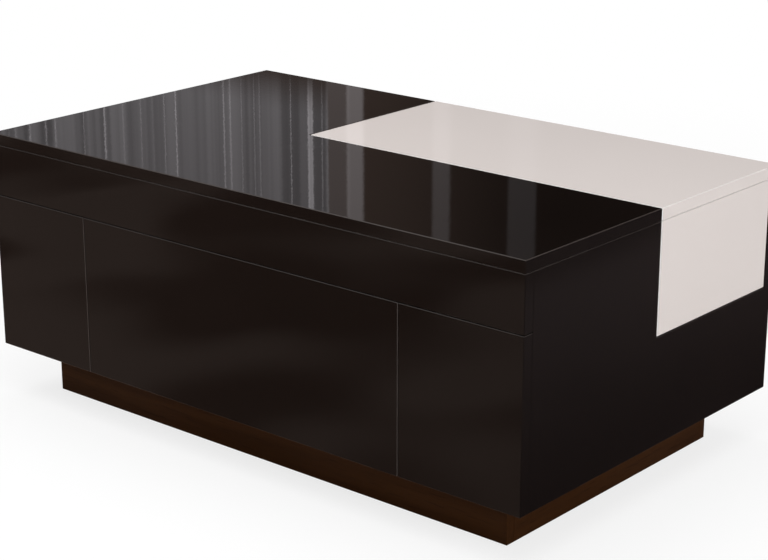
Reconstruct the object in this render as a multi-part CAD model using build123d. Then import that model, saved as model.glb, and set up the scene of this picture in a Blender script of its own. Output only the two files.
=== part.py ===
from build123d import *
import os

# Sliding top coffee table: a lacquered board carcass on a recessed plinth. Two thirds of the top are
# a fixed L. The other third slides out of the end with a drop panel under its edge and uncovers a
# compartment. A wide drawer opens at the front. Both run on three-part ball-bearing slides.
#
# Millimetres. The origin is on the floor under the table's centre. +X is the way the sliding top
# comes out, -Y is the front with the drawer, +Z is up. Each piece is written to parts/NAME.step.

# ---------------------------------------------------------------- overall sizes
table_length = 1000.0
table_width = 600.0
table_height = 418.0

# ---------------------------------------------------------------- boards
top_thickness = 18.0
panel_thickness = 18.0  # lacquered outer boards: apron, fronts, back, ends and drop panel
core_thickness = 15.0  # boards inside the carcass and its bottom
top_bevel = 1.0  # eased edges of the tops
panel_bevel = 0.6  # eased edges of the other lacquered boards
reveal = 1.2  # seams between the front boards
front_gap = 1.0  # from the drawer front to the board edges behind it

# ---------------------------------------------------------------- sliding top
top_seam_x = -124.0  # seam across the table
top_seam_y = 0.0  # seam along the table
slide_gap = 1.5  # from the sliding top and its drop panel to the fixed boards beside them
drop_height = 160.5  # drop panel below the sliding top
batten_width = 18.0
batten_height = 46.0
batten_inset = 22.0  # from the sliding top's inner edge
bracket_count = 3
bracket_leg = 36.0
bracket_width = 40.0
bracket_sheet = 2.0
bracket_bend = 1.5  # inside radius

# ---------------------------------------------------------------- front
apron_height = 78.0
side_panel_width = 199.0
cleat = 18.0  # square battens behind the apron and the side panels

# ---------------------------------------------------------------- plinth
plinth_height = 80.0
plinth_setback_end = 62.0
plinth_setback_side = 58.0
plinth_board = 15.0
glue_block = 32.0
glue_block_height = 50.0
floor_pad = 22.0
floor_pad_height = 2.0

# ---------------------------------------------------------------- compartment under the sliding top
wall_setback = 1.0  # from the compartment's walls to the seams above them
end_wall_gap = 6.0  # from the end wall up to the battens that pass over it

# ---------------------------------------------------------------- drawer
drawer_board = 12.0
drawer_box_lift = 5.0  # from the carcass bottom to the box
drawer_headroom = 7.0  # from the box to the compartment's floor
drawer_box_tail = 23.0  # from the slides' back ends to the back of the box
drawer_bottom_thickness = 5.0
drawer_groove_depth = 6.0
drawer_groove_lift = 10.0  # from the box's lower edge to the groove
groove_gap = 0.2

# ---------------------------------------------------------------- three-part ball-bearing slides
slide_length = 400.0
slide_depth = 12.7
slide_height = 45.0
slide_wall = 1.2
web_gap = 1.2  # between the webs of two members, where a ball cage runs
ball_radius = 1.98
race_radius = 2.2
race_depth = 0.4  # pressed into the member that a row of balls runs over
ball_line = 7.2  # from the slide's mounting face to the middle of its balls
lip_turn = 0.35  # how far a member's lip turns in past the middle of its balls
flange_gap = 1.2  # from the middle member's web to the inner member's flanges
cage_length = 180.0
cage_sheet = 0.6
cage_lip_gap = 0.3  # from a cage's edge to the lip that curls round it
cage_balls = 6  # in each row
ball_pocket_gap = 0.15
buffer_length = 9.0  # plastic stop at the back of the outer member
buffer_height = 24.0
buffer_gap = 0.3
screw_hole_radius = 2.3
screw_hole_inset = 36.0  # from a member's end
screw_holes = 2  # in each outer and inner member
top_slide_drop = 4.0  # from the sliding top's underside to its slides
top_slide_inset = 6.0  # from the drop panel to the slides' ends
drawer_slide_inset = 7.0  # from the drawer front to the slides' ends

# ---------------------------------------------------------------- cam fittings
cam_radius = 7.5
cam_depth = 12.0
cam_distance = 24.0  # from the joint to the cam's centre
cam_slot_width = 2.0
cam_slot_depth = 2.5
cam_inset = 60.0  # from a board's end
bolt_radius = 3.5
bolt_anchor = 11.0  # how far a bolt goes into the board that it pulls
fitting_gap = 0.1

# ---------------------------------------------------------------- planes that the pieces share
end = table_length / 2
side = table_width / 2
carcass_top = table_height - top_thickness
back_top = carcass_top - slide_gap  # upper edge of the back, which the sliding top passes over
end_inside = end - panel_thickness
front_inside = panel_thickness - side
back_inside = side - panel_thickness
core_front = front_inside + front_gap
bottom_top = plinth_height + core_thickness
front_top = carcass_top - apron_height - reveal  # upper edge of the drawer front and side panels
fixed_seam_x = top_seam_x - slide_gap / 2
fixed_seam_y = top_seam_y - slide_gap / 2
sliding_seam_x = top_seam_x + slide_gap / 2
sliding_seam_y = top_seam_y + slide_gap / 2
drop_bottom = carcass_top - drop_height
floor_top = drop_bottom - slide_gap  # also the lower edge of the end panel's notch
spine_back = top_seam_y - wall_setback
spine_front = spine_back - core_thickness
side_wall_right = top_seam_x - wall_setback
side_wall_left = side_wall_right - core_thickness
partition_middle = end - side_panel_width - reveal / 2
partition_inner = partition_middle - core_thickness / 2
partition_outer = partition_middle + core_thickness / 2
batten_bottom = carcass_top - batten_height
box_bottom = bottom_top + drawer_box_lift
box_top = floor_top - core_thickness - drawer_headroom
box_back = front_inside + drawer_slide_inset + slide_length + drawer_box_tail

parts = {}  # node name: its solids


def add(name, *solids):
    parts.setdefault(name, []).extend(solids)


def cut(name, tool):
    parts[name] = [solid - tool for solid in parts[name]]


def block(x, y, z):
    """A box between pairs of coordinates, in either order."""
    low = [min(pair) for pair in (x, y, z)]
    size = [abs(pair[1] - pair[0]) for pair in (x, y, z)]
    return Pos(*low) * Box(*size, align=(Align.MIN, Align.MIN, Align.MIN))


def panel(x, y, z, bevel=panel_bevel):
    """A lacquered board with all its edges eased."""
    return chamfer(block(x, y, z).edges(), bevel)


def cut_panel(corners, plane, thickness, bevel):
    """A lacquered board cut to a polygon on a plane, its rims eased on both faces."""
    blank = extrude(plane * make_face(Polyline(*corners, close=True)), thickness)
    faces = blank.faces().sort_by(Axis(plane.origin, plane.z_dir))
    return chamfer(faces[0].edges() + faces[-1].edges(), bevel)


def cut_square(name, y):
    """Leaves of a board what lies between two values of y, with square edges there, where it fits
    between two other boards."""
    for beyond in ((-side, y[0]), (y[1], side)):
        cut(name, block((-end, end), beyond, (0, table_height)))


def rod(start, direction, radius, length):
    base = (Align.CENTER, Align.CENTER, Align.MIN)
    return Plane(start, z_dir=direction) * Cylinder(radius, length, align=base)


# ---------------------------------------------------------------- tops
def make_fixed_top():
    corners = (
        (-end, -side),
        (end, -side),
        (end, fixed_seam_y),
        (fixed_seam_x, fixed_seam_y),
        (fixed_seam_x, side),
        (-end, side),
    )
    add("fixed_top", cut_panel(corners, Plane.XY.offset(carcass_top), top_thickness, top_bevel))


def make_sliding_top():
    width = (sliding_seam_y, side)
    slab_height = (carcass_top, table_height)
    add("sliding_top", panel((sliding_seam_x, end), width, slab_height, top_bevel))
    drop_width = (sliding_seam_y, back_inside - slide_gap)
    add("drop_panel", panel((end_inside, end), drop_width, (drop_bottom, carcass_top)))
    run = (sliding_seam_x + batten_inset, end_inside)
    height = (batten_bottom, carcass_top)
    front_face = spine_back + slide_depth
    back_face = back_inside - slide_depth
    add("runner_batten_front", block(run, (front_face, front_face + batten_width), height))
    add("runner_batten_back", block(run, (back_face, back_face - batten_width), height))
    start = front_face + batten_width
    pitch = (back_face - batten_width - start) / bracket_count
    for i in range(bracket_count):
        add("drop_panel_brackets", make_bracket(start + pitch * (i + 0.5)))


def make_bracket(y):
    """A folded angle in the corner under the sliding top, with its middle at y."""
    corner = (Align.MIN, Align.MIN)
    inside = Pos(bracket_sheet, bracket_sheet) * Rectangle(bracket_leg, bracket_leg, align=corner)
    legs = Rectangle(bracket_leg, bracket_leg, align=corner) - inside
    legs = fillet(legs.vertices().sort_by_distance((0, 0))[:1], bracket_bend + bracket_sheet)
    legs = fillet(legs.vertices().sort_by_distance((bracket_sheet, bracket_sheet))[:1], bracket_bend)
    middle = Plane((end_inside, y, carcass_top), x_dir=(-1, 0, 0), z_dir=(0, -1, 0))
    return extrude(middle * legs, bracket_width / 2, both=True)


# ---------------------------------------------------------------- carcass
def make_ends_and_back():
    depth = (-side, side)
    add("end_panel_left", panel((-end, -end_inside), depth, (plinth_height, carcass_top)))
    corners = (
        (-side, plinth_height),
        (side, plinth_height),
        (side, floor_top),
        (fixed_seam_y, floor_top),
        (fixed_seam_y, carcass_top),
        (-side, carcass_top),
    )
    add("end_panel_right", cut_panel(corners, Plane.YZ.offset(end_inside), panel_thickness, panel_bevel))
    for name in ("end_panel_left", "end_panel_right"):
        cut_square(name, (front_inside, back_inside))
    add("back_panel", panel((-end, end), (back_inside, side), (plinth_height, back_top)))


def make_front():
    thick = (-side, front_inside)
    tall = (plinth_height, front_top)
    add("front_apron", panel((-end, end), thick, (carcass_top - apron_height, carcass_top)))
    add("front_panel_left", panel((-end, side_panel_width - end), thick, tall))
    add("front_panel_right", panel((end - side_panel_width, end), thick, tall))
    behind = (front_inside, front_inside + cleat)
    under_top = (carcass_top - cleat, carcass_top)
    for start, finish in (
        (-end_inside, -partition_outer),
        (-partition_inner, partition_inner),
        (partition_outer, end_inside),
    ):
        add("apron_cleats", block((start, finish), behind, under_top))
    for hand in (-1, 1):
        corner = (hand * partition_outer, hand * (partition_outer + cleat))
        add("side_panel_cleats", block(corner, behind, (bottom_top, front_top)))


def make_carcass_boards():
    depth = (core_front, back_inside)
    height = (bottom_top, carcass_top)
    add("bottom_panel", block((-end_inside, end_inside), depth, (plinth_height, bottom_top)))
    add("partition_left", block((-partition_outer, -partition_inner), depth, height))
    thick = (partition_inner, partition_outer)
    compartment = block(thick, (spine_front, back_inside), (floor_top - core_thickness, carcass_top))
    add("partition_right", block(thick, depth, height) - compartment)


def make_compartment():
    depth = (spine_back, back_inside)
    run = (side_wall_left, end_inside)
    wall = (floor_top, carcass_top)
    add("compartment_floor", block(run, (spine_front, back_inside), (floor_top - core_thickness, floor_top)))
    add("compartment_side_wall", block((side_wall_left, side_wall_right), depth, wall))
    add("spine_board", block((-partition_inner, end_inside), (spine_front, spine_back), wall))
    outer = end_inside - slide_gap
    low_wall = (floor_top, batten_bottom - end_wall_gap)
    add("compartment_end_wall", block((outer - core_thickness, outer), depth, low_wall))


# ---------------------------------------------------------------- plinth
def make_plinth():
    x = end - plinth_setback_end
    y = side - plinth_setback_side
    inner = y - plinth_board
    height = (floor_pad_height, plinth_height)
    add("plinth_rail_front", panel((-x, x), (-y, -inner), height))
    add("plinth_rail_back", panel((-x, x), (inner, y), height))
    add("plinth_rail_left", panel((-x, plinth_board - x), (-y, y), height))
    add("plinth_rail_right", panel((x - plinth_board, x), (-y, y), height))
    for name in ("plinth_rail_left", "plinth_rail_right"):
        cut_square(name, (-inner, inner))
    add("plinth_stretcher", block((-plinth_board / 2, plinth_board / 2), (-inner, inner), height))
    block_height = (floor_pad_height, floor_pad_height + glue_block_height)
    margin = (glue_block - floor_pad) / 2
    for start in (plinth_board - x, plinth_board / 2, x - plinth_board - glue_block):
        for hand in (-1, 1):
            wall = hand * inner
            inward = -hand
            block_depth = (wall, wall + inward * glue_block)
            pad_depth = (wall + inward * margin, wall + inward * (margin + floor_pad))
            add("plinth_glue_blocks", block((start, start + glue_block), block_depth, block_height))
            pad_run = (start + margin, start + margin + floor_pad)
            add("floor_pads", block(pad_run, pad_depth, (0, floor_pad_height)))


# ---------------------------------------------------------------- slides
# A slide is drawn as profiles in the plane of u, off its mounting face, and v, up, and each member
# is a profile extruded along the travel from the slide's back end. Two rows of balls run between
# the outer and middle members, and two more between the middle and inner members.
outer_ball_v = slide_height / 2 - slide_wall - race_radius
inner_ball_v = outer_ball_v - 2 * race_radius - slide_wall + race_depth
middle_web = slide_wall + web_gap
inner_start = middle_web + slide_wall + flange_gap


def bar(u, v):
    """A rectangle between two values of u, as tall as v above and below the slide's middle."""
    return Pos((u[0] + u[1]) / 2, 0) * Rectangle(u[1] - u[0], 2 * v)


def ball_row_circles(radius, v):
    return [Pos(ball_line, hand * v) * Circle(radius) for hand in (-1, 1)]


def channel_profile(web, ball_v):
    """A flat web from u = web, with flanges that curl round two rows of balls."""
    skin = race_radius + slide_wall
    outside = bar((web, ball_line), ball_v + skin)
    hollow = bar((web + slide_wall, ball_line), ball_v + race_radius)
    for round_skin, race in zip(ball_row_circles(skin, ball_v), ball_row_circles(race_radius, ball_v)):
        outside += round_skin
        hollow += race
    mouth = bar((ball_line, ball_line + 2 * skin), ball_v - lip_turn)
    return outside - hollow - mouth


def middle_profile():
    profile = channel_profile(middle_web, inner_ball_v)
    for race in ball_row_circles(race_radius, outer_ball_v):
        profile -= race
    return profile


def inner_profile():
    half = inner_ball_v - race_radius + race_depth
    profile = bar((inner_start, slide_depth), half)
    profile -= bar((inner_start, slide_depth - slide_wall), half - slide_wall)
    for race in ball_row_circles(race_radius, inner_ball_v):
        profile -= race
    return profile


def drill_for_screws(member):
    pitch = (slide_length - 2 * screw_hole_inset) / (screw_holes - 1)
    for i in range(screw_holes):
        start = (0, 0, screw_hole_inset + pitch * i)
        member -= rod(start, (1, 0, 0), screw_hole_radius, slide_depth)
    return member


def make_outer_member():
    """The cabinet member, with a tab folded up behind the plastic stop at its back end."""
    tail = buffer_gap + buffer_length + slide_wall
    member = extrude(Pos(0, 0, -tail) * channel_profile(0, outer_ball_v), slide_length + tail)
    tab = extrude(Pos(0, 0, -tail) * bar((0, ball_line + race_radius), buffer_height / 2), slide_wall)
    return drill_for_screws(member + tab)


def make_buffer():
    profile = bar((slide_wall, ball_line + race_radius), buffer_height / 2)
    return extrude(Pos(0, 0, -buffer_gap - buffer_length) * profile, buffer_length)


def make_cage(web, ball_v):
    """A thin channel whose flanges run through two rows of balls, with an open pocket for each."""
    half = ball_v + cage_sheet / 2
    reach = ball_line + race_radius - cage_lip_gap
    profile = bar((web, reach), half) - bar((web + cage_sheet, reach), half - cage_sheet)
    cage = extrude(profile, cage_length)
    pocket_radius = ball_radius + ball_pocket_gap
    for i in range(cage_balls):
        along = cage_length * (i + 0.5) / cage_balls
        pocket = Box(2 * pocket_radius, 2 * slide_height, 2 * pocket_radius)
        cage -= Pos(ball_line, 0, along) * pocket
    return Pos(0, 0, (slide_length - cage_length) / 2) * cage


def make_slides(prefix, placements):
    """Puts a slide on each (side, plane), with the plane's x_dir off the mounting face and its z_dir
    the way that the slide opens. Both cages of a kind are one node, and so are the plastic stops."""
    cage_offset = (web_gap - cage_sheet) / 2
    own = {
        "outer": make_outer_member(),
        "middle": extrude(middle_profile(), slide_length),
        "inner": drill_for_screws(extrude(inner_profile(), slide_length)),
    }
    shared = {
        "outer_cages": make_cage(slide_wall + cage_offset, outer_ball_v),
        "inner_cages": make_cage(middle_web + slide_wall + cage_offset, inner_ball_v),
        "buffers": make_buffer(),
    }
    for where, plane in placements:
        for role, member in own.items():
            add(f"{prefix}_{where}_{role}", plane * member)
        for role, piece in shared.items():
            add(f"{prefix}_{role}", plane * piece)


def make_all_slides():
    top_z = carcass_top - top_slide_drop - slide_height / 2
    top_x = end_inside - top_slide_inset - slide_length
    on_spine = Plane((top_x, spine_back, top_z), x_dir=(0, 1, 0), z_dir=(1, 0, 0))
    on_back = Plane((top_x, back_inside, top_z), x_dir=(0, -1, 0), z_dir=(1, 0, 0))
    make_slides("top_slide", (("front", on_spine), ("back", on_back)))
    drawer_z = (box_bottom + box_top) / 2
    drawer_y = front_inside + drawer_slide_inset + slide_length
    on_left = Plane((-partition_inner, drawer_y, drawer_z), x_dir=(1, 0, 0), z_dir=(0, -1, 0))
    on_right = Plane((partition_inner, drawer_y, drawer_z), x_dir=(-1, 0, 0), z_dir=(0, -1, 0))
    make_slides("drawer_slide", (("left", on_left), ("right", on_right)))


# ---------------------------------------------------------------- drawer
def make_drawer():
    front_half = partition_middle - reveal / 2
    thick = (-side, front_inside)
    add("drawer_front", panel((-front_half, front_half), thick, (plinth_height, front_top)))
    outer = partition_inner - slide_depth
    inner = outer - drawer_board
    front = front_inside
    height = (box_bottom, box_top)
    add("drawer_side_left", block((-outer, -inner), (front, box_back), height))
    add("drawer_side_right", block((inner, outer), (front, box_back), height))
    add("drawer_box_front", block((-inner, inner), (front, front + drawer_board), height))
    add("drawer_box_back", block((-inner, inner), (box_back - drawer_board, box_back), height))
    skin = drawer_board - drawer_groove_depth
    groove_x = inner + drawer_groove_depth
    groove_y = (front + skin, box_back - skin)
    groove_z = box_bottom + drawer_groove_lift
    groove_top = groove_z + drawer_bottom_thickness + groove_gap
    groove = block((-groove_x, groove_x), groove_y, (groove_z, groove_top))
    for name in ("drawer_side_left", "drawer_side_right", "drawer_box_front", "drawer_box_back"):
        cut(name, groove)
    bottom_x = groove_x - groove_gap
    bottom_y = (groove_y[0] + groove_gap, groove_y[1] - groove_gap)
    bottom_z = (groove_z, groove_z + drawer_bottom_thickness)
    add("drawer_bottom", block((-bottom_x, bottom_x), bottom_y, bottom_z))


# ---------------------------------------------------------------- cam fittings
def add_cam_fitting(cam_board, pulled_board, joint, into, outward):
    """A cam in one board that grips a bolt anchored in another.

    joint is on the line where the boards meet, at the middle of the cam board's thickness. into
    points from it into the cam board, and outward from there to the face that the cam is let into."""
    joint, into, outward = Vector(joint), Vector(into), Vector(outward)
    half_board = min(parts[cam_board][0].bounding_box().size) / 2
    mouth = joint + into * cam_distance + outward * half_board
    cam = rod(mouth, -outward, cam_radius, cam_depth)
    slot_plane = Plane(mouth, x_dir=into, z_dir=outward)
    cam -= slot_plane * Box(2 * cam_radius, cam_slot_width, 2 * cam_slot_depth)
    bolt_length = bolt_anchor + cam_distance - cam_radius - fitting_gap
    bolt_start = joint - into * bolt_anchor
    add("cam_locks", cam)
    add("cam_bolts", rod(bolt_start, into, bolt_radius, bolt_length))
    bore_start = bolt_start - into * fitting_gap
    bore = rod(bore_start, into, bolt_radius + fitting_gap, bolt_anchor + cam_distance)
    cut(pulled_board, bore)
    cut(cam_board, bore)
    cut(cam_board, rod(mouth, -outward, cam_radius + fitting_gap, cam_depth + fitting_gap))


def make_cam_fittings():
    bottom_middle = plinth_height + core_thickness / 2
    end_middle = end - panel_thickness / 2
    for hand, name in ((-1, "end_panel_left"), (1, "end_panel_right")):
        for y in (core_front + cam_inset, back_inside - cam_inset):
            joint = (hand * end_inside, y, bottom_middle)
            add_cam_fitting("bottom_panel", name, joint, (-hand, 0, 0), (0, 0, -1))
        joint = (hand * end_middle, front_inside + cam_inset, carcass_top)
        add_cam_fitting(name, "fixed_top", joint, (0, 0, -1), (-hand, 0, 0))
    joint = (-end_middle, back_inside - cam_inset, carcass_top)
    add_cam_fitting("end_panel_left", "fixed_top", joint, (0, 0, -1), (1, 0, 0))


make_fixed_top()
make_sliding_top()
make_ends_and_back()
make_front()
make_carcass_boards()
make_compartment()
make_plinth()
make_all_slides()
make_drawer()
make_cam_fittings()

os.makedirs("parts", exist_ok=True)
for name, solids in parts.items():
    pieces = [piece for solid in solids for piece in solid.solids()]
    whole = pieces[0] if len(pieces) == 1 else Compound(children=pieces)
    export_step(whole, f"parts/{name}.step")
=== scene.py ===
import math

import bmesh
import bpy
from mathutils import Matrix, Vector


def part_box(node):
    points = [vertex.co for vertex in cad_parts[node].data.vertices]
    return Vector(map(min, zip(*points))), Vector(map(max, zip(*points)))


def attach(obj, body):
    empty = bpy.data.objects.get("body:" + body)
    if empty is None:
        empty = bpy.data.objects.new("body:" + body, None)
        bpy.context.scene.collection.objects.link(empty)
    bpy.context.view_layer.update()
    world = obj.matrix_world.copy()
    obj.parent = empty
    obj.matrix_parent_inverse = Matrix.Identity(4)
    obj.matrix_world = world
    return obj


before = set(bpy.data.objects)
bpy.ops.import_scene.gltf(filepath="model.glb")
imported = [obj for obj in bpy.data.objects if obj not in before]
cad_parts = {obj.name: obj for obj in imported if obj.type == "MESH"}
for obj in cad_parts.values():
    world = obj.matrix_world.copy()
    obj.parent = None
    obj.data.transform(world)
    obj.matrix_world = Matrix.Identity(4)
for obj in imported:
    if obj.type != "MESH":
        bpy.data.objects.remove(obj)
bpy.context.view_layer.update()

# ------------------------------------------------------------ plinth
# The recessed plinth is a frame of boards in dark brown satin lacquer. The grain of the veneer under
# it still shows a little, as fine pores along each board.
MM = 0.001


class Value:
    """A node's output. Arithmetic on it adds Math nodes."""

    def __init__(self, shading, node, output=0):
        self.shading = shading
        self.node = node
        self.socket = node.outputs[output]

    def out(self, output):
        return Value(self.shading, self.node, output)

    def math(self, operation, *others):
        sockets = dict(enumerate((self, *others)))
        return self.shading.node("ShaderNodeMath", {"operation": operation}, sockets)

    def __add__(self, other):
        return self.math("ADD", other)

    def __sub__(self, other):
        return self.math("SUBTRACT", other)

    def __rsub__(self, other):
        return self.math("MULTIPLY_ADD", -1, other)

    def __mul__(self, other):
        return self.math("MULTIPLY", other)

    __radd__ = __add__
    __rmul__ = __mul__


class Shading:
    """The nodes of a material or of the world, round one shader."""

    def __init__(self, owner, shader, uniform, output="ShaderNodeOutputMaterial"):
        owner.use_nodes = True
        self.owner = owner
        self.tree = owner.node_tree
        self.tree.nodes.clear()
        self.shader = self.node(shader, {}, uniform)
        self.surface = self.tree.nodes.new(output).inputs["Surface"]
        self.feed(self.surface, self.shader)

    def node(self, kind, settings, sockets, output=0):
        """Adds a node: its settings first, such as a Math node's operation, and then its sockets."""
        made = self.tree.nodes.new(kind)
        for name, setting in settings.items():
            setattr(made, name, setting)
        for key, value in sockets.items():
            self.feed(made.inputs[key], value)
        return Value(self, made, output)

    def feed(self, socket, value):
        if isinstance(value, Value):
            self.tree.links.new(value.socket, socket)
        elif socket.type == "RGBA":
            socket.default_value = (*value, 1)
        else:
            socket.default_value = value

    def drive(self, **sockets):
        """Links what varies over the surface, such as base_color or roughness."""
        for name, value in sockets.items():
            self.feed(self.shader.node.inputs[name.replace("_", " ").title()], value)

    def place(self, stretch=(1, 1, 1)):
        """Object coordinates in metres. A factor under 1 draws a pattern out along that axis."""
        where = self.node("ShaderNodeTexCoord", {}, {}, "Object")
        return self.node("ShaderNodeMapping", {}, {"Vector": where, "Scale": stretch})

    def noise(self, place, per_metre, detail=3, distortion=0):
        sockets = {"Vector": place, "Scale": per_metre, "Detail": detail, "Distortion": distortion}
        return self.node("ShaderNodeTexNoise", {}, sockets, "Fac")

    def spread(self, value, low, high, to_low=0.0, to_high=1.0):
        """Maps low to high onto to_low to to_high, smoothly, and holds it there past the ends."""
        settings = {"interpolation_type": "SMOOTHSTEP"}
        sockets = {"Value": value, 1: low, 2: high, 3: to_low, 4: to_high}
        return self.node("ShaderNodeMapRange", settings, sockets)

    def mix(self, share, first, second):
        return self.node("ShaderNodeMix", {"data_type": "RGBA"}, {0: share, 6: first, 7: second}, 2)

    def bump(self, height, depth):
        """A normal from a height of 0 to 1, as deep as depth metres."""
        return self.node("ShaderNodeBump", {}, {"Height": height, "Distance": depth})


def new_finish(name, shader="ShaderNodeBsdfPrincipled", **uniform):
    """A material. What is the same all over it is set on the shader's own sockets."""
    sockets = {key.replace("_", " "): value for key, value in uniform.items()}
    return Shading(bpy.data.materials.new(name), shader, sockets)


def dress(finish, *nodes):
    """Gives CAD nodes their finish."""
    for name in nodes:
        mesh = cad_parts[name].data
        mesh.materials.clear()
        mesh.materials.append(finish.owner)


def satin_veneer(name, along):
    finish = new_finish(name, IOR=1.48, Specular_IOR_Level=0.08)
    place = finish.place(along)
    figure = finish.noise(place, 60, detail=5, distortion=0.4)
    pores = finish.spread(finish.noise(place, 700, detail=2), 0.58, 0.7)
    colour = finish.mix(finish.spread(figure, 0.35, 0.7), (0.047, 0.0170, 0.0045), (0.034, 0.0118, 0.0030))
    finish.drive(base_color=finish.mix(pores * 0.5, colour, (0.015, 0.0053, 0.0017)))
    finish.drive(roughness=0.36 + pores * 0.2)
    finish.drive(normal=finish.bump(1 - pores, 0.05 * MM))
    return finish


dress(satin_veneer("plinth_lacquer_along_x", (0.04, 1, 1)), "plinth_rail_front", "plinth_rail_back")
dress(satin_veneer("plinth_lacquer_along_y", (1, 0.04, 1)), "plinth_rail_left", "plinth_rail_right")

# ------------------------------------------------------------ battens and blocks
# The stretcher and glue blocks of the plinth, the cleats behind the front boards and the battens
# under the sliding top are planed softwood. Growth rings run along each as darker late-wood lines.


def softwood(name, along):
    finish = new_finish(name, IOR=1.45)
    place = finish.place(along)
    rings = finish.noise(place, 55, detail=2, distortion=0.8)
    lines = finish.node("ShaderNodeMath", {"operation": "PINGPONG"}, {0: rings * 9, 1: 0.5}) * 2
    late = finish.spread(lines, 0.45, 0.95)
    fibre = finish.noise(place, 1600, detail=3)
    colour = finish.mix(late, (0.60, 0.42, 0.25), (0.42, 0.25, 0.12))
    finish.drive(base_color=finish.mix(fibre * 0.4, colour, (0.52, 0.36, 0.21)))
    finish.drive(roughness=0.55 + fibre * 0.25)
    finish.drive(normal=finish.bump(fibre + late * 0.6, 0.08 * MM))
    return finish


softwood_along_x = softwood("softwood_along_x", (0.035, 1, 1))
dress(softwood_along_x, "runner_batten_front", "runner_batten_back", "apron_cleats")
dress(softwood("softwood_along_y", (1, 0.035, 1)), "plinth_stretcher")
dress(softwood("softwood_along_z", (1, 1, 0.035)), "side_panel_cleats", "plinth_glue_blocks")

# ------------------------------------------------------------ floor pads
# Square rubber pads under the glue blocks keep the plinth off the floor.


def moulded(name, colour, roughness):
    finish = new_finish(name, IOR=1.5)
    grain = finish.noise(finish.place(), 1800, detail=2)
    finish.drive(base_color=finish.mix(grain, colour, tuple(c * 1.25 for c in colour)))
    finish.drive(roughness=roughness + grain * 0.1)
    finish.drive(normal=finish.bump(grain, 0.02 * MM))
    return finish


pad_rubber = moulded("pad_rubber", (0.016, 0.016, 0.016), 0.75)
dress(pad_rubber, "floor_pads")

# ------------------------------------------------------------ boards inside the carcass
# The bottom, the partitions and the walls of the compartment are chipboard faced with a dark matt
# melamine, which has a fine pressed grain.


def melamine(name, colour, fleck_colour):
    finish = new_finish(name, IOR=1.5)
    place = finish.place()
    grain = finish.noise(place, 1400, detail=2)
    cloud = finish.noise(place, 9, detail=3)
    flecks = finish.spread(grain, 0.55, 0.72)
    finish.drive(base_color=finish.mix(flecks * 0.6 + cloud * 0.3, colour, fleck_colour))
    finish.drive(roughness=0.42 + cloud * 0.12)
    finish.drive(normal=finish.bump(grain, 0.03 * MM))
    return finish


dress(
    melamine("dark_melamine", (0.030, 0.026, 0.024), (0.052, 0.047, 0.043)),
    "bottom_panel",
    "partition_left",
    "partition_right",
    "compartment_floor",
    "compartment_side_wall",
    "compartment_end_wall",
    "spine_board",
)

# ------------------------------------------------------------ cam fittings
# The boards pull together on cams let into their inner faces. The cams are die-cast zinc, and the
# bolts that they grip are turned steel.


def plated_steel(name, colour, along, roughness):
    finish = new_finish(name, Metallic=0.7)
    drawn = finish.noise(finish.place(along), 2500, detail=2)
    cloud = finish.noise(finish.place(), 40, detail=3)
    finish.drive(base_color=finish.mix(cloud, colour, tuple(c * 0.86 for c in colour)))
    finish.drive(roughness=roughness + drawn * 0.12 + cloud * 0.08)
    finish.drive(normal=finish.bump(drawn, 0.006 * MM))
    return finish


dress(plated_steel("cast_zinc", (0.52, 0.52, 0.53), (1, 1, 1), 0.38), "cam_locks", "cam_bolts")

# ------------------------------------------------------------ black lacquered boards
# The L-shaped fixed top, the ends, the back, the apron and the front boards are fibreboard under a
# black lacquer, polished to a mirror. It has a faint orange peel and soft wipe marks. Its eased
# edges are duller and carry painted highlights, fine lighter lines, but not on the outer corners.


def lacquer(name, colour, deep_colour, painted_edge_light, upright_painted_edge_light, corner_x, gloss, smudge):
    finish = new_finish(name, IOR=1.5)
    normal = finish.node("ShaderNodeNewGeometry", {}, {}, "True Normal")
    facing = finish.node("ShaderNodeVectorMath", {"operation": "ABSOLUTE"}, {0: normal})
    axes = finish.node("ShaderNodeSeparateXYZ", {}, {0: facing})
    squarest = axes.math("MAXIMUM", axes.out(1)).math("MAXIMUM", axes.out(2))
    upright = 1 - finish.spread(axes.out(2), 0.1, 0.5)
    place = finish.place()
    spot = finish.node("ShaderNodeSeparateXYZ", {}, {0: place})
    at_corner = upright * finish.spread(spot.math("ABSOLUTE"), corner_x - 10 * MM, corner_x - 3 * MM)
    eased = (1 - finish.spread(squarest, 0.8, 0.95)) * (1 - at_corner)
    depth = finish.spread(finish.noise(place, 2.2, detail=2), 0.35, 0.65)
    faces = finish.mix(depth, colour, deep_colour)
    # painted light and shade on the eased edges, with a colour of its own for the upright ones
    edges = finish.mix(upright, painted_edge_light, upright_painted_edge_light)
    finish.drive(base_color=finish.mix(eased, faces, edges))
    wipes = finish.noise(finish.place((1, 2.5, 2.5)), 5, detail=4, distortion=1.2)
    dust = finish.noise(place, 900, detail=1)
    marks = finish.spread(wipes, 0.5, 0.75) * smudge + finish.spread(dust, 0.72, 0.78) * smudge
    finish.drive(roughness=gloss + marks + eased * 0.25)
    peel = finish.noise(place, 130, detail=2)
    finish.drive(normal=finish.bump(peel, 0.012 * MM))
    return finish


dress(
    lacquer(
        "black_lacquer",
        colour=(0.0048, 0.0031, 0.0026),
        deep_colour=(0.0036, 0.0023, 0.0019),
        painted_edge_light=(0.035, 0.0275, 0.0243),
        upright_painted_edge_light=(0.085, 0.070, 0.063),
        corner_x=0.5,
        gloss=0.018,
        smudge=0.03,
    ),
    "fixed_top",
    "end_panel_left",
    "end_panel_right",
    "back_panel",
    "front_apron",
    "front_panel_left",
    "front_panel_right",
    "drawer_front",
)

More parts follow.
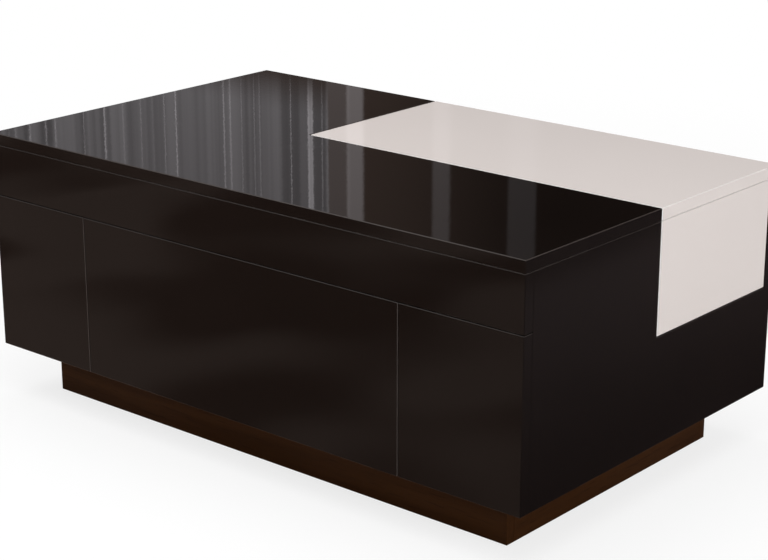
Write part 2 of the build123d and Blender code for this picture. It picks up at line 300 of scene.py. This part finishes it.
# ------------------------------------------------------------ slides of the sliding top
# Each slide is three rolled steel members, bright zinc plated, that telescope on rows of steel balls.
# Thin pressed cages keep the balls apart, and a plastic stop sits behind the inner member.
ZINC = (0.70, 0.705, 0.71)
BALL_RADIUS = 1.98  # in millimetres, as the lengths of all the small parts are
BALL_LINE = 7.2  # from the mounting face to the middle of the balls
BALLS_IN_ROW = 6
CAGE_SHEET = 0.6
HOLE_INSET = 36  # from a member's end to its screw hole
OUTER_SEAT = 0.4  # from the mounting face to the heads sunk in the outer member
INNER_WEB = 11.5  # from the mounting face to the inner member's web
SUNK_HEAD = (2.2, 0.7)  # radius and height of a screw's head
PAN_HEAD = (3.6, 1.9)

zinc_along_x = plated_steel("zinc_plate_along_x", ZINC, (0.02, 1, 1), 0.2)
for side in ("front", "back"):
    dress(zinc_along_x, *(f"top_slide_{side}_{member}" for member in ("outer", "middle", "inner")))
dress(zinc_along_x, "top_slide_outer_cages", "top_slide_inner_cages")
black_plastic = moulded("black_plastic", (0.018, 0.018, 0.019), 0.42)
dress(black_plastic, "top_slide_buffers")
ball_steel = plated_steel("ball_steel", (0.70, 0.70, 0.71), (1, 1, 1), 0.08)
screw_steel = plated_steel("screw_zinc", ZINC, (1, 1, 1), 0.24)


def finish_piece(bm, name, finish, body):
    """Makes an object of a bmesh, and gives it its material and body."""
    mesh = bpy.data.meshes.new(name)
    bm.to_mesh(mesh)
    bm.free()
    piece = bpy.data.objects.new(name, mesh)
    bpy.context.scene.collection.objects.link(piece)
    mesh.materials.append(finish.owner)
    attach(piece, body)


def screw_head(radius, height):
    """A pan head that faces up, with its base at the origin and a cross recess in it."""
    bm = bmesh.new()
    half_flat = radius * 0.62
    bmesh.ops.create_grid(bm, x_segments=6, y_segments=6, size=half_flat)
    cell = half_flat / 3
    recess = []
    for face in bm.faces:
        near, far = sorted(abs(c) for c in face.calc_center_median()[:2])
        if near < cell and far < 2 * cell:
            recess.append(face)
    rim = [edge for edge in bm.edges if edge.is_boundary]
    bmesh.ops.inset_region(bm, faces=recess, thickness=0.1 * cell, depth=-0.55 * height)
    bmesh.ops.translate(bm, vec=(0, 0, height), verts=bm.verts)
    # the rounded side, as shares of the radius and height, from the top down
    for ring_radius, ring_height in ((0.88, 0.85), (1.0, 0.5), (1.0, 0.0)):
        where = Matrix.Translation((0, 0, height * ring_height))
        ring = bmesh.ops.create_circle(bm, segments=24, radius=radius * ring_radius, matrix=where)
        ring_edges = list({edge for vert in ring["verts"] for edge in vert.link_edges})
        bmesh.ops.bridge_loops(bm, edges=rim + ring_edges)
        rim = ring_edges
    bmesh.ops.recalc_face_normals(bm, faces=bm.faces)
    head = bpy.data.meshes.new("screw_head")
    bm.to_mesh(head)
    bm.free()
    return head


def add_screws(name, heads, head_size, body):
    """Heads are pairs of a place on a surface and the way that the head faces."""
    radius, height = head_size
    head = screw_head(radius * MM, height * MM)
    bm = bmesh.new()
    for i, (place, facing) in enumerate(heads):
        done = len(bm.verts)
        bm.from_mesh(head)
        bm.verts.ensure_lookup_table()
        spin = Matrix.Rotation(math.radians(37 * i), 4, "Z")  # each screw stops at its own angle
        turn = Vector((0, 0, 1)).rotation_difference(Vector(facing)).to_matrix().to_4x4()
        where = Matrix.Translation(Vector(place) * MM) @ turn @ spin
        bmesh.ops.transform(bm, matrix=where, verts=bm.verts[done:])
    bpy.data.meshes.remove(head)
    finish_piece(bm, name, screw_steel, body)


def slide_heads(travel_axis, slides, off_face, facing):
    """Heads at both screw holes of each slide, so far off its mounting face. They face away from
    that face if facing is 1, and towards it if facing is -1."""
    heads = []
    for slide, outward in slides:
        low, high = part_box(f"{slide}_inner")
        middle = (low + high) / 2 / MM
        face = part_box(f"{slide}_outer")[0 if outward > 0 else 1][1 - travel_axis] / MM
        for along in (low[travel_axis] / MM + HOLE_INSET, high[travel_axis] / MM - HOLE_INSET):
            place = middle.copy()
            place[travel_axis] = along
            place[1 - travel_axis] = face + outward * off_face
            way = Vector((0, 0, 0))
            way[1 - travel_axis] = outward * facing
            heads.append((place, way))
    return heads


def add_balls(cages, travel_axis, slides):
    """One ball in each pocket of a pair of cages, whose flanges run through the balls' middles."""
    low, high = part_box(cages)
    across_axis = 1 - travel_axis
    bm = bmesh.new()
    for slide, outward in slides:
        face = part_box(f"{slide}_outer")[0 if outward > 0 else 1][across_axis]
        for i in range(BALLS_IN_ROW):
            share = (i + 0.5) / BALLS_IN_ROW
            for height in (low.z + CAGE_SHEET * MM / 2, high.z - CAGE_SHEET * MM / 2):
                centre = Vector((0, 0, height))
                centre[travel_axis] = low[travel_axis] + (high - low)[travel_axis] * share
                centre[across_axis] = face + outward * BALL_LINE * MM
                where = Matrix.Translation(centre)
                bmesh.ops.create_icosphere(bm, subdivisions=2, radius=BALL_RADIUS * MM, matrix=where)
    for face in bm.faces:
        face.smooth = True
    finish_piece(bm, cages.replace("cages", "balls"), ball_steel, cages)


top_slides = (("top_slide_front", 1), ("top_slide_back", -1))
add_balls("top_slide_outer_cages", 0, top_slides)
add_balls("top_slide_inner_cages", 0, top_slides)
outer_heads = slide_heads(0, top_slides, OUTER_SEAT, 1)
add_screws("top_slide_outer_screws", outer_heads, SUNK_HEAD, "carcass")
inner_heads = slide_heads(0, top_slides, INNER_WEB, -1)
add_screws("top_slide_inner_screws", inner_heads, PAN_HEAD, "sliding_top")

# ------------------------------------------------------------ white sliding top
# The sliding part of the top and the panel that hangs from its end edge are the same fibreboard in
# a warm white lacquer, polished in the same way. Folded steel angles join the two.
dress(
    lacquer(
        "white_lacquer",
        colour=(0.705, 0.645, 0.62),
        deep_colour=(0.695, 0.635, 0.61),
        # painted shade on the level eased edges, and a painted highlight on the upright ones
        painted_edge_light=(0.66, 0.62, 0.60),
        upright_painted_edge_light=(0.90, 0.88, 0.87),
        corner_x=1,  # past the table's end, so its edges show all round
        gloss=0.04,
        smudge=0.05,
    ),
    "sliding_top",
    "drop_panel",
)
zinc_along_y = plated_steel("zinc_plate_along_y", ZINC, (1, 0.02, 1), 0.2)
dress(zinc_along_y, "drop_panel_brackets")

BRACKET_HALF_WIDTH = 20
BRACKET_SHEET = 2
BRACKET_SCREW = 22  # from the bend
BRACKET_SCREW_SIDE = 11  # from the bracket's middle, to either side
BATTEN_SCREWS = (0.08, 0.36, 0.64, 0.92)  # shares of a batten's length
low, high = (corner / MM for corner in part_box("drop_panel_brackets"))
first = low.y + BRACKET_HALF_WIDTH
last = high.y - BRACKET_HALF_WIDTH
heads = []
for middle in (first, (first + last) / 2, last):
    for y in (middle - BRACKET_SCREW_SIDE, middle + BRACKET_SCREW_SIDE):
        heads.append(((high.x - BRACKET_SCREW, y, high.z - BRACKET_SHEET), (0, 0, -1)))
        heads.append(((high.x - BRACKET_SHEET, y, high.z - BRACKET_SCREW), (-1, 0, 0)))
for batten in ("runner_batten_front", "runner_batten_back"):
    low, high = (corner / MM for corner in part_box(batten))
    for share in BATTEN_SCREWS:
        heads.append(((low.x + (high.x - low.x) * share, (low.y + high.y) / 2, low.z), (0, 0, -1)))
add_screws("sliding_top_screws", heads, PAN_HEAD, "sliding_top")

# ------------------------------------------------------------ drawer box
# The drawer's sides, inner front, back and bottom are thinner boards in a paler grey melamine. The
# bottom slides into a groove in the other four.
dress(
    melamine("drawer_melamine", (0.25, 0.235, 0.215), (0.33, 0.315, 0.29)),
    "drawer_side_left",
    "drawer_side_right",
    "drawer_box_front",
    "drawer_box_back",
    "drawer_bottom",
)

FRONT_SCREWS_X = (-210, -70, 70, 210)
CORNER_SCREW_INSET = 12  # from the upper and lower edge of a box board
LOW_HEAD = (3.6, 1.6)
low, high = (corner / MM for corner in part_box("drawer_box_front"))
heads = [((x, high.y, (low.z + high.z) / 2), (0, 1, 0)) for x in FRONT_SCREWS_X]
back_low, back_high = (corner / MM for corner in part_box("drawer_box_back"))
left_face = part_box("drawer_side_left")[0].x / MM
right_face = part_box("drawer_side_right")[1].x / MM
for face, outward in ((left_face, -1), (right_face, 1)):
    for y in ((low.y + high.y) / 2, (back_low.y + back_high.y) / 2):
        for z in (low.z + CORNER_SCREW_INSET, high.z - CORNER_SCREW_INSET):
            heads.append(((face, y, z), (outward, 0, 0)))
add_screws("drawer_screws", heads, LOW_HEAD, "drawer")

BUMPER_RADIUS = 2.8
BUMPER_THICKNESS = 0.9
BUMPER_INSET = 3.4  # from the drawer front's side edges to the bumpers' middles
BUMPER_ABOVE = 30  # the lower edge
BUMPER_BELOW = 20  # the upper edge
low, high = (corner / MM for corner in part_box("drawer_front"))
bm = bmesh.new()
for x in (low.x + BUMPER_INSET, high.x - BUMPER_INSET):
    for z in (low.z + BUMPER_ABOVE, high.z - BUMPER_BELOW):
        centre = Vector((x, high.y + BUMPER_THICKNESS / 2, z)) * MM
        bmesh.ops.create_cone(
            bm,
            cap_ends=True,
            segments=24,
            radius1=BUMPER_RADIUS * MM,
            radius2=BUMPER_RADIUS * 0.8 * MM,
            depth=BUMPER_THICKNESS * MM,
            matrix=Matrix.Translation(centre) @ Matrix.Rotation(math.radians(-90), 4, "X"),
        )
finish_piece(bm, "drawer_bumpers", pad_rubber, "drawer")

# ------------------------------------------------------------ slides of the drawer
# The drawer hangs on a second pair of the same slides, which run from front to back.
for side in ("left", "right"):
    dress(zinc_along_y, *(f"drawer_slide_{side}_{member}" for member in ("outer", "middle", "inner")))
dress(zinc_along_y, "drawer_slide_outer_cages", "drawer_slide_inner_cages")
dress(black_plastic, "drawer_slide_buffers")
drawer_slides = (("drawer_slide_left", 1), ("drawer_slide_right", -1))
add_balls("drawer_slide_outer_cages", 1, drawer_slides)
add_balls("drawer_slide_inner_cages", 1, drawer_slides)
outer_heads = slide_heads(1, drawer_slides, OUTER_SEAT, 1)
add_screws("drawer_slide_outer_screws", outer_heads, SUNK_HEAD, "carcass")
inner_heads = slide_heads(1, drawer_slides, INNER_WEB, -1)
add_screws("drawer_slide_inner_screws", inner_heads, PAN_HEAD, "drawer")

# ------------------------------------------------------------ studio
# A plain pale floor under a white sky, with a large soft lamp above and a smaller one at the right.
# Black lacquer shows only what it mirrors, so mirrors alone see a dark cloth round the table and a
# dark room, with a pleated white curtain in one corner and two soft lights in its ceiling.


def stage_piece(bm, name, finish):
    mesh = bpy.data.meshes.new(name)
    bm.to_mesh(mesh)
    bm.free()
    piece = bpy.data.objects.new(name, mesh)
    bpy.context.scene.collection.objects.link(piece)
    mesh.materials.append(finish.owner)
    return piece


def show_only_in_mirrors(piece):
    piece.visible_camera = False
    piece.visible_diffuse = False
    piece.visible_shadow = False


def background_share(shading):
    """1 for rays that look for the background: straight from the camera, in a mirror or in glass."""
    ray = shading.node("ShaderNodeLightPath", {}, {}, "Is Camera Ray")
    return ray + ray.out("Is Glossy Ray") + ray.out("Is Transmission Ray")


FLOOR_HALF = 12
SHADOW_SHARE = 0.22  # near the table, the floor is plain white but for this much of its shaded colour
SHADOW_FADE = (0.9, 2.4)  # metres from the table's middle where that share starts to go, and is gone
floor_finish = new_finish("studio_floor", "ShaderNodeBsdfDiffuse", Color=(0.95, 0.95, 0.95))
white = floor_finish.node("ShaderNodeEmission", {}, {"Color": (1, 1, 1), "Strength": 1})
place = floor_finish.place()
away = floor_finish.node("ShaderNodeVectorMath", {"operation": "LENGTH"}, {0: place}, "Value")
shaded = floor_finish.spread(away, *SHADOW_FADE, SHADOW_SHARE, 0)
white_share = background_share(floor_finish) * (1 - shaded)
mixed = floor_finish.node("ShaderNodeMixShader", {}, {0: white_share, 1: floor_finish.shader, 2: white})
clear = floor_finish.node("ShaderNodeBsdfTransparent", {}, {})
from_below = floor_finish.node("ShaderNodeNewGeometry", {}, {}, "Backfacing")
one_sided = floor_finish.node("ShaderNodeMixShader", {}, {0: from_below, 1: mixed, 2: clear})
floor_finish.feed(floor_finish.surface, one_sided)
bm = bmesh.new()
bmesh.ops.create_grid(bm, x_segments=1, y_segments=1, size=FLOOR_HALF)
stage_piece(bm, "floor", floor_finish)

# The cloth's soft folds are painted light and shade in its glowing colour. Past the table's right-hand end
# it is dark, and lighter again further out.
ROOM_HALF = (6.5, 3.2)
ROOM_HEIGHT = 5.0
CLOTH_LIFT = 0.2 * MM
cloth_finish = new_finish("dark_floor_cloth", "ShaderNodeEmission", Strength=1.0)
painted_cloth_folds = cloth_finish.noise(cloth_finish.place((1, -0.8, 1)), 2.1, detail=1, distortion=0.3)
lighter = cloth_finish.spread(painted_cloth_folds, 0.41, 0.60)
cloth_colour = cloth_finish.mix(lighter, (0.132, 0.084, 0.066), (0.275, 0.202, 0.171))
spot = cloth_finish.node("ShaderNodeSeparateXYZ", {}, {0: cloth_finish.place()})
beyond_end = cloth_finish.spread(spot, 0.42, 0.56)
further_out = cloth_finish.spread(spot, 0.6, 1.1) - cloth_finish.spread(spot, 1.12, 1.24) * 0.6
end_colour = cloth_finish.mix(further_out, (0.044, 0.034, 0.036), (0.135, 0.110, 0.112))
cloth_finish.drive(color=cloth_finish.mix(beyond_end * 0.95, cloth_colour, end_colour))
bm = bmesh.new()
bmesh.ops.create_grid(bm, x_segments=1, y_segments=1, size=1)
bmesh.ops.scale(bm, vec=(*ROOM_HALF, 1), verts=bm.verts)
bmesh.ops.translate(bm, vec=(0, 0, CLOTH_LIFT), verts=bm.verts)
show_only_in_mirrors(stage_piece(bm, "dark_floor_cloth", cloth_finish))

# The curtain runs along the back wall from the left corner, and four pale uprights stand beyond it.
# From there the wall grows darker to the right. The ceiling's light washes over its upper part.
CURTAIN_END = -2.97
CURTAIN_HEM = 1.22  # above the floor
UPRIGHTS = ((-2.97, -2.88, 0.10), (-2.87, -2.81, 0.27), (-2.46, -2.40, 0.11), (-2.12, -2.02, 0.06))
wall_finish = new_finish("studio_walls", "ShaderNodeEmission", Strength=1.0)
spot = wall_finish.node("ShaderNodeSeparateXYZ", {}, {0: wall_finish.place()})
pleats = wall_finish.place((1, 1, 0))  # the same all the way up
# the curtain is flat: its folds and bright creases are painted light and shade in the wall's glowing
# colour
painted_fold_shade = wall_finish.spread(wall_finish.noise(pleats, 13, detail=4), 0.35, 0.66, 0.18, 0.36)
from_crease = (wall_finish.noise(pleats, 11, detail=0) - 0.5).math("ABSOLUTE")
painted_crease_lines = wall_finish.spread(from_crease, 0.003, 0.018, 1, 0)
crease_light = wall_finish.spread(wall_finish.noise(pleats, 3.1, detail=0), 0.36, 0.6, 0.24, 0.62)
hung = wall_finish.spread(spot.out("Z"), CURTAIN_HEM, CURTAIN_HEM + 0.2)
curtain = (1 - wall_finish.spread(spot, CURTAIN_END - 0.01, CURTAIN_END)) * hung
wall = wall_finish.spread(spot, CURTAIN_END, CURTAIN_END + 1.1, 0.085, 0.014)
uprights = 0
for left, right, brightness in UPRIGHTS:
    begun = wall_finish.spread(spot, left - 0.02, left)
    ended = wall_finish.spread(spot, right, right + 0.02)
    uprights = uprights + (begun - ended) * brightness
bare_colour = wall_finish.mix((1 - curtain) * wall, (0, 0, 0), (1.0, 0.72, 0.60))
wash = wall_finish.spread(spot.out("Z"), 2.4, 3.4, 0, 0.35)
lit = curtain * (painted_fold_shade + painted_crease_lines * crease_light) + uprights + wash
lit_colour = wall_finish.mix(lit, (0, 0, 0), (1.0, 0.95, 0.99))
both = wall_finish.node("ShaderNodeVectorMath", {"operation": "ADD"}, {0: bare_colour, 1: lit_colour})
wall_finish.drive(color=both)
bm = bmesh.new()
bmesh.ops.create_cube(bm, size=1)
bmesh.ops.scale(bm, vec=(2 * ROOM_HALF[0], 2 * ROOM_HALF[1], ROOM_HEIGHT), verts=bm.verts)
bmesh.ops.translate(bm, vec=(0, 0, ROOM_HEIGHT / 2), verts=bm.verts)
level = [face for face in bm.faces if abs(face.normal.z) > 0.5]
bmesh.ops.delete(bm, geom=level, context="FACES_ONLY")
show_only_in_mirrors(stage_piece(bm, "studio_walls", wall_finish))

CEILING_LIGHTS = (2.4, 3.4, 4.4, 5.4)  # how far from the middle each starts, is full, fades and ends
ceiling_finish = new_finish("studio_ceiling", "ShaderNodeEmission", Strength=1.0)
spot = ceiling_finish.node("ShaderNodeSeparateXYZ", {}, {0: ceiling_finish.place()})
out_from_middle = spot.math("ABSOLUTE")
rise = ceiling_finish.spread(out_from_middle, *CEILING_LIGHTS[:2])
fall = ceiling_finish.spread(out_from_middle, *CEILING_LIGHTS[2:])
ceiling_finish.drive(color=ceiling_finish.mix(rise - fall, (0.25, 0.25, 0.25), (1.1, 1.1, 1.1)))
bm = bmesh.new()
bmesh.ops.create_grid(bm, x_segments=1, y_segments=1, size=1)
bmesh.ops.scale(bm, vec=(*ROOM_HALF, 1), verts=bm.verts)
bmesh.ops.translate(bm, vec=(0, 0, ROOM_HEIGHT), verts=bm.verts)
show_only_in_mirrors(stage_piece(bm, "studio_ceiling", ceiling_finish))

SKY_LIGHT = 0.5  # what the sky gives the object. As a background it is plain white.
world = bpy.data.worlds.new("studio")
bpy.context.scene.world = world
sky = Shading(world, "ShaderNodeBackground", {"Color": (1, 1, 1)}, "ShaderNodeOutputWorld")
sky.drive(strength=sky.spread(background_share(sky), 0, 1, SKY_LIGHT, 1))


def add_softbox(name, size, place, target, power):
    lamp = bpy.data.lights.new(name, "AREA")
    lamp.shape = "RECTANGLE"
    lamp.size, lamp.size_y = size
    lamp.energy = power
    holder = bpy.data.objects.new(name, lamp)
    bpy.context.scene.collection.objects.link(holder)
    holder.location = place
    aim = Vector(target) - Vector(place)
    holder.rotation_euler = aim.to_track_quat("-Z", "Y").to_euler()
    holder.visible_glossy = False


add_softbox("overhead", (4.0, 2.8), (-0.1, -0.5, 2.9), (0, 0, 0), 75)
add_softbox("right_fill", (1.6, 1.6), (3.7, -0.5, 1.3), (0, 0, 0.2), 36)

# ------------------------------------------------------------ camera
# The table is seen from its front right, a little from above, with a long lens.
camera_data = bpy.data.cameras.new("camera")
camera_data.lens = 91.8
camera_data.sensor_width = 36
camera = bpy.data.objects.new("camera", camera_data)
bpy.context.scene.collection.objects.link(camera)
camera.location = (1.8186, -2.1123, 1.1173)
camera.rotation_euler = (math.radians(90 - 17.95), 0, math.radians(40.38))
bpy.context.scene.camera = camera
bpy.context.scene.view_settings.view_transform = "Standard"
